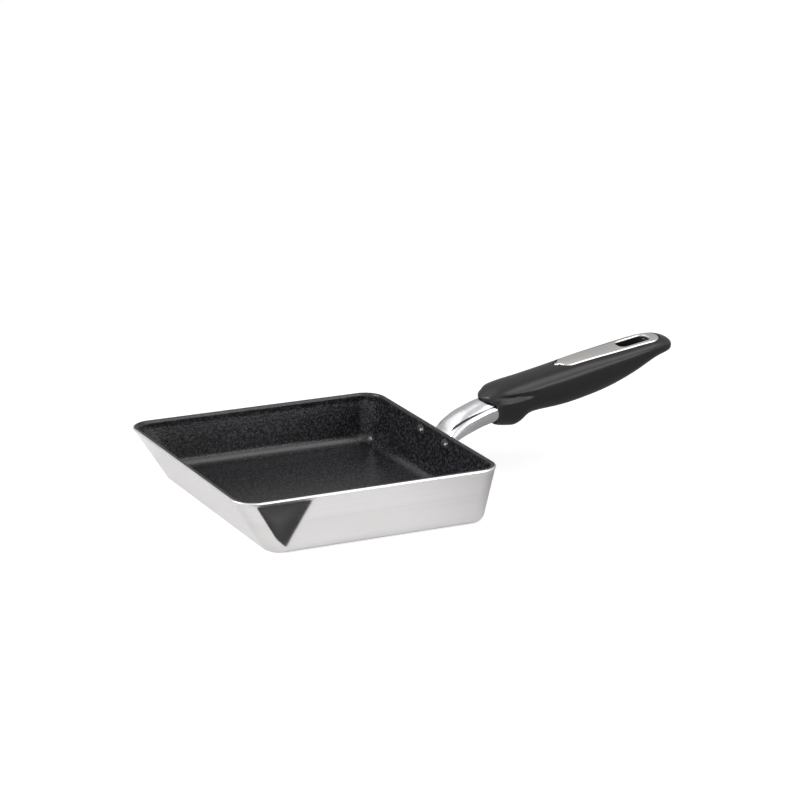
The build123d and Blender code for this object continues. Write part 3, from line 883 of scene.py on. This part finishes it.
def cut_away(body, low, high):
    """Take the space between a lower and an upper ring out of a piece.

    The rings run anticlockwise seen from above, so the sides and both caps face outwards.
    """
    count = len(low)
    sides = grid_faces(2, count).tolist()
    caps = [list(range(count))[::-1], list(range(count, 2 * count))]
    cutter = new_object("cutter", new_mesh("cutter", np.concatenate([low, high]), sides + caps))
    change = body.modifiers.new("cut", "BOOLEAN")
    change.operation, change.solver, change.object = "DIFFERENCE", "EXACT", cutter
    made = bpy.data.meshes.new_from_object(body.evaluated_get(bpy.context.evaluated_depsgraph_get()))
    body.modifiers.clear()
    body.data = made
    bpy.data.objects.remove(cutter)


def slot_space():
    """Hanging slot: a rounded column square to the grip's axis."""
    angle = np.linspace(0, 2 * np.pi, 120, endpoint=False)
    plan = arc(0, 0, slot_radius(angle, SLOT_GAP), angle)
    along = np.array([math.cos(GRIP_TILT), 0, math.sin(GRIP_TILT)])
    up = CUT_REACH * np.array([-math.sin(GRIP_TILT), 0, math.cos(GRIP_TILT)])
    origin = np.array([NOSE_X + SLOT_CENTRE, 0, AXIS_START + GRIP_SLOPE * SLOT_CENTRE])
    ring = origin + plan @ np.stack([along, (0, 1, 0)])
    return ring - up, ring + up


def recess_space():
    """Seat of the inlay: its outline grown by a gap, from just below the grip's crown upwards."""
    border = inlay_outline(INLAY_GAP)
    height = crown_height(*border.T)
    return tuple(np.column_stack([border, height + step]) for step in (-INLAY_SEAT, RECESS_REACH))


cut_away(grip, *recess_space())
cut_away(grip, *slot_space())
crisp(grip, 38)
crisp(inlay, 24)
for head in rivets:
    crisp(head, 50)


# Stage, light and camera

WHITE = (1, 1, 1, 1)
# The room that reflections see: the way to its dim end, levels, and where they change
ROOM_HEADING = (-0.300, 0.954, 0.0)
FRONT_ROOM, BACK_ROOM, HIGH_ROOM, ROOM_LIGHT = 1.25, 0.46, 0.72, 0.64
ROOM_TURNS, ROOM_CLIMBS = (-0.95, 0.5), (0.30, 0.75)
# The floor: size and level, how much it glows and shades, and where its reflection
# darkens, in metres along X
FLOOR_RADIUS, FLOOR_SIDES, FLOOR_LEVEL = 9000.0, 64, -0.1
FLOOR_GLOW, FLOOR_SHADE, FLOOR_BOUNCE = 0.72, (0.38, 0.38, 0.38, 1), (0.8, 0.8, 0.8, 1)
SHEET_GLOW, SHEET_SHADE = 0.20, 0.62
SHEET_START, SHEET_END, SHEET_DARK = 0.03, 0.20, 0.38
# The flag: corners in millimetres, and its level at the edge and in the middle
FLAG_CORNERS = ((-89.6, -94.8, 36.8), (-36.2, -93.0, 36.0), (-55.0, -88.4, 0.6), (-65.2, -89.8, 3.6))
FLAG_GLOW = (0.040, 0.11)


def bare_tree(thing):
    """Emptied node tree of a new material or world."""
    thing.use_nodes = True
    thing.node_tree.nodes.clear()
    return thing.node_tree


def ray_mask(tree, *kinds):
    """1 for the kinds of ray that are named, 0 for the others."""
    path = node(tree, "ShaderNodeLightPath").outputs
    seen = path[kinds[0]]
    for kind in kinds[1:]:
        seen = maths(tree, "MAXIMUM", seen, path[kind])
    return seen


def by_ray(tree, output, light, mirrored, shown):
    """Send one shader to the light, one to reflections and one to the camera."""
    glossy = ray_mask(tree, "Is Glossy Ray")
    first = node(tree, "ShaderNodeMixShader", {0: glossy, 1: light, 2: mirrored})
    camera = ray_mask(tree, "Is Camera Ray", "Is Transmission Ray")
    both = node(tree, "ShaderNodeMixShader", {0: camera, 1: first.outputs[0], 2: shown})
    node(tree, output, {"Surface": both.outputs[0]})


def glow(tree, strength):
    """White glow of a strength."""
    return node(tree, "ShaderNodeEmission", {"Color": WHITE, "Strength": strength}).outputs[0]


def glowing_sheet(tree, strength, shade):
    """Glow and a matt sheet together."""
    sheet = node(tree, "ShaderNodeBsdfDiffuse", {"Color": shade}).outputs[0]
    return node(tree, "ShaderNodeAddShader", {0: glow(tree, strength), 1: sheet}).outputs[0]


def white_floor():
    """Floor that is white with a faint shadow to the camera, pale grey to the light, and a sheet
    that darkens along +X in reflections."""
    material = bpy.data.materials.new("white floor")
    tree = bare_tree(material)
    place = node(tree, "ShaderNodeSeparateXYZ", {0: node(tree, "ShaderNodeTexCoord").outputs["Object"]})
    fall = spread(tree, place.outputs[0], 1.0, SHEET_DARK, SHEET_START, SHEET_END, "SMOOTHSTEP")
    strength, shade = (maths(tree, "MULTIPLY", fall, level) for level in (SHEET_GLOW, SHEET_SHADE))
    sheet = glowing_sheet(tree, strength, shade)
    bounce = node(tree, "ShaderNodeBsdfDiffuse", {"Color": FLOOR_BOUNCE}).outputs[0]
    shown = glowing_sheet(tree, FLOOR_GLOW, FLOOR_SHADE)
    by_ray(tree, "ShaderNodeOutputMaterial", bounce, sheet, shown)
    return material


def round_floor():
    """Flat disc far wider than the view."""
    plan = arc(0, 0, FLOOR_RADIUS, np.linspace(0, 2 * np.pi, FLOOR_SIDES, endpoint=False))
    ring = np.column_stack([plan, np.full(FLOOR_SIDES, FLOOR_LEVEL)])
    floor = new_object("floor", new_mesh("floor", ring, [list(range(FLOOR_SIDES))]))
    dress(floor, white_floor())


def white_world():
    """Studio room: white to the camera, a soft level as light, and in reflections a backdrop that
    is dimmer behind the object than in front of it and overhead."""
    world = bpy.data.worlds.new("white room")
    bpy.context.scene.world = world
    tree = bare_tree(world)
    way = node(tree, "ShaderNodeTexCoord").outputs["Generated"]
    away = node(tree, "ShaderNodeVectorMath", {0: way, 1: ROOM_HEADING}, operation="DOT_PRODUCT")
    level = spread(tree, away.outputs["Value"], FRONT_ROOM, BACK_ROOM, *ROOM_TURNS, "SMOOTHSTEP")
    climb = node(tree, "ShaderNodeSeparateXYZ", {0: way}).outputs[2]
    high = spread(tree, climb, 0.0, HIGH_ROOM, *ROOM_CLIMBS, "SMOOTHSTEP")
    by_ray(tree, "ShaderNodeOutputWorld", *(
        node(tree, "ShaderNodeBackground", {"Color": WHITE, "Strength": strength}).outputs[0]
        for strength in (ROOM_LIGHT, maths(tree, "MAXIMUM", level, high), 1.0)))


def dark_flag():
    """Small dark studio flag by the pan's front corner, a little lighter in its middle. Only
    reflections see it."""
    points = np.concatenate([FLAG_CORNERS, np.mean(FLAG_CORNERS, axis=0, keepdims=True)])
    mesh = new_mesh("flag", points, [(k, (k + 1) % 4, 4) for k in range(4)])
    point_values(mesh, "middle", (0, 0, 0, 0, 1))
    flag = new_object("flag", mesh)
    material = bpy.data.materials.new("flag cloth")
    tree = bare_tree(material)
    level = spread(tree, point_share(tree, "middle"), *FLAG_GLOW)
    node(tree, "ShaderNodeOutputMaterial", {"Surface": glow(tree, level)})
    dress(flag, material)
    flag.visible_camera = flag.visible_diffuse = flag.visible_shadow = flag.visible_transmission = False


def set_turn(thing, right, up, back, place):
    """Axes and place of a lamp or the camera, which look along their -Z."""
    turn = np.eye(4)
    turn[:3] = np.stack([right, up, back, place], axis=1)
    thing.matrix_world = Matrix(turn.tolist())


def softbox(name, aim, way, distance, size, radiance, diffuse=True, glossy=True):
    """Square area lamp of a given radiance, at a distance from its aim along a direction.

    diffuse and glossy say which surfaces' rays see it.
    """
    lamp = bpy.data.lights.new(name, "AREA")
    lamp.shape, lamp.size = "SQUARE", size
    lamp.energy = radiance * size * size * math.pi
    box = new_object(name, lamp)
    box.visible_camera, box.visible_diffuse, box.visible_glossy = False, diffuse, glossy
    back = np.array(way) / np.linalg.norm(way)
    right = np.cross((0, 0, 1), back)
    right /= np.linalg.norm(right)
    set_turn(box, right, np.cross(back, right), back, aim + distance * back)


def photo_camera():
    """Pinhole camera of the photograph: angles, distance, and where the origin falls in its frame."""
    azimuth, elevation, roll = np.radians((-28.72, 17.724, 1.903))
    distance, focal_pixels = 1.960, 3049.0
    origin_pixel, frame_pixels, sensor_width = (310.43, 500.63), 800.0, 36.0
    back = np.array([math.sin(azimuth) * math.cos(elevation), -math.cos(azimuth) * math.cos(elevation),
                     math.sin(elevation)])
    level = np.cross((0, 0, 1), back)
    level /= np.linalg.norm(level)
    steep = np.cross(back, level)
    right = math.cos(roll) * level + math.sin(roll) * steep
    up = math.cos(roll) * steep - math.sin(roll) * level
    aside = (origin_pixel[0] - frame_pixels / 2) * distance / focal_pixels
    above = (frame_pixels / 2 - origin_pixel[1]) * distance / focal_pixels
    data = bpy.data.cameras.new("camera")
    data.sensor_width = sensor_width
    data.lens = sensor_width * focal_pixels / frame_pixels
    data.clip_start, data.clip_end = 0.05, 60.0
    camera = new_object("camera", data)
    set_turn(camera, right, up, back, back * distance - right * aside - up * above)
    bpy.context.scene.camera = camera


round_floor()
white_world()
dark_flag()
# Lamps: what each looks at, the way to it, its distance, side and radiance
softbox("front softbox", (0.15, 0, 0.05), (0.36, -0.42, 0.83), 1.6, 1.1, 2.3)
softbox("rivet kicker", (0.09, 0, 0.03), (-0.82, 0.15, 0.56), 1.5, 0.46, 18.0, diffuse=False)
softbox("left fill", (0.09, 0, 0.03), (-0.96, -0.20, 0.20), 1.6, 1.0, 15.0, glossy=False)
softbox("high left kicker", (0.12, 0, 0.06), (-0.46, 0.51, 0.72), 1.5, 1.40, 0.62, diffuse=False)
softbox("low front fill", (0, 0.08, 0.03), (0.44, -0.87, 0.19), 1.6, 0.5, 4.0)
photo_camera()

bpy.context.scene.view_settings.view_transform = "Standard"
